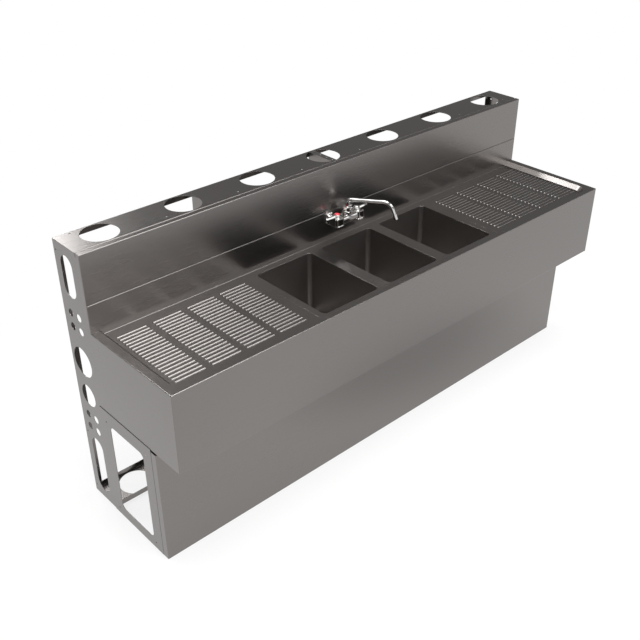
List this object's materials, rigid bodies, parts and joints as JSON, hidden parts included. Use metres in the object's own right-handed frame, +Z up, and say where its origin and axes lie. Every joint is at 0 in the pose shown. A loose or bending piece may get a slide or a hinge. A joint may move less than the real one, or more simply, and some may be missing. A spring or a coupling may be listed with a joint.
{
  "type": "underbar bar sink",
  "caption": "Stainless underbar sink: bowls between ribbed drainboards, splash-mounted swing-spout faucet, raised back and an open-backed pipe chase with a hung access panel.",
  "frame": {"origin": "centre of the footprint, at floor level", "axes": "+Z up, +X along the unit towards its right end, +Y from the front towards the chase back"},
  "size_m": [2.134, 0.596, 1.026],
  "materials": {
    "satin_sheet": "satin stainless sheet with a fine straight grain",
    "inner_sheet": "plain mill-finished stainless sheet",
    "bowl_sheet": "satin drawn stainless bowl",
    "zinc_fasteners": "zinc-plated fasteners",
    "polished_drain": "polished drain fitting",
    "black_rubber": "black rubber seals",
    "brass_fittings": "machined brass",
    "chrome_pipe": "chrome-plated waste pipe",
    "faucet_chrome": "bright polished chrome",
    "red_cap": "glossy red index cap",
    "pale_cap": "glossy pale index cap"
  },
  "bodies": {
    "unit": {"front_apron": "satin_sheet", "left_skirt": "satin_sheet", "right_skirt": "satin_sheet", "left_drainboard": "satin_sheet", "right_drainboard": "satin_sheet", "bowl_deck_corners": "satin_sheet", "bowl_deck_bars": "satin_sheet", "bowl_deck_strips": "satin_sheet", "left_bowl": "bowl_sheet", "middle_bowl": "bowl_sheet", "right_bowl": "bowl_sheet", "splash_panel": "satin_sheet", "riser_panel": "satin_sheet", "left_deck_brace": "inner_sheet", "right_deck_brace": "inner_sheet", "chase_top_plate": "satin_sheet", "chase_bottom_plate": "inner_sheet", "left_end_plate": "satin_sheet", "right_end_plate": "satin_sheet", "left_upright": "inner_sheet", "middle_upright": "inner_sheet", "right_upright": "inner_sheet", "left_base_panel": "satin_sheet", "right_base_panel": "satin_sheet", "low_front_rail": "inner_sheet", "high_front_rail": "inner_sheet", "panel_brackets": "inner_sheet", "base_bolts": "zinc_fasteners", "rail_bolts": "zinc_fasteners", "left_drain_flange": "polished_drain", "middle_drain_flange": "polished_drain", "right_drain_flange": "polished_drain", "drain_gaskets": "black_rubber", "drain_locknuts": "brass_fittings", "left_tailpiece": "chrome_pipe", "middle_tailpiece": "chrome_pipe", "right_tailpiece": "chrome_pipe", "slip_nuts": "chrome_pipe", "faucet_body": "faucet_chrome", "wall_flanges": "faucet_chrome", "hot_shank": "brass_fittings", "cold_shank": "brass_fittings", "shank_washers": "zinc_fasteners", "shank_locknuts": "brass_fittings", "hot_bonnet": "faucet_chrome", "cold_bonnet": "faucet_chrome", "spout_nut": "faucet_chrome", "spout_o_ring": "black_rubber"},
    "spout_arm": {"spout": "faucet_chrome", "aerator": "faucet_chrome"},
    "hot_valve": {"hot_stem": "brass_fittings", "hot_handle": "faucet_chrome", "hot_index_cap": "red_cap"},
    "cold_valve": {"cold_stem": "brass_fittings", "cold_handle": "faucet_chrome", "cold_index_cap": "pale_cap"},
    "front_access": {"access_panel": "satin_sheet", "panel_clips": "inner_sheet"}
  },
  "joints": [
    {"name": "spout_swing", "type": "hinge", "parent": "unit", "child": "spout_arm", "pos_m": [0, 0.099, 0.85], "axis": [0, 0, 1], "range_deg": [-127.4, 52.6]},
    {"name": "hot_handle_turn", "type": "hinge", "parent": "unit", "child": "hot_valve", "pos_m": [-0.0508, 0.099, 0.84], "axis": [0, 0, 1], "range_deg": [0, 90]},
    {"name": "cold_handle_turn", "type": "hinge", "parent": "unit", "child": "cold_valve", "pos_m": [0.0508, 0.099, 0.84], "axis": [0, 0, 1], "range_deg": [-90, 0]},
    {"name": "access_panel_lift", "type": "slide", "parent": "unit", "child": "front_access", "axis": [0, 0, 1], "range_m": [0, 0.005]}
  ]
}
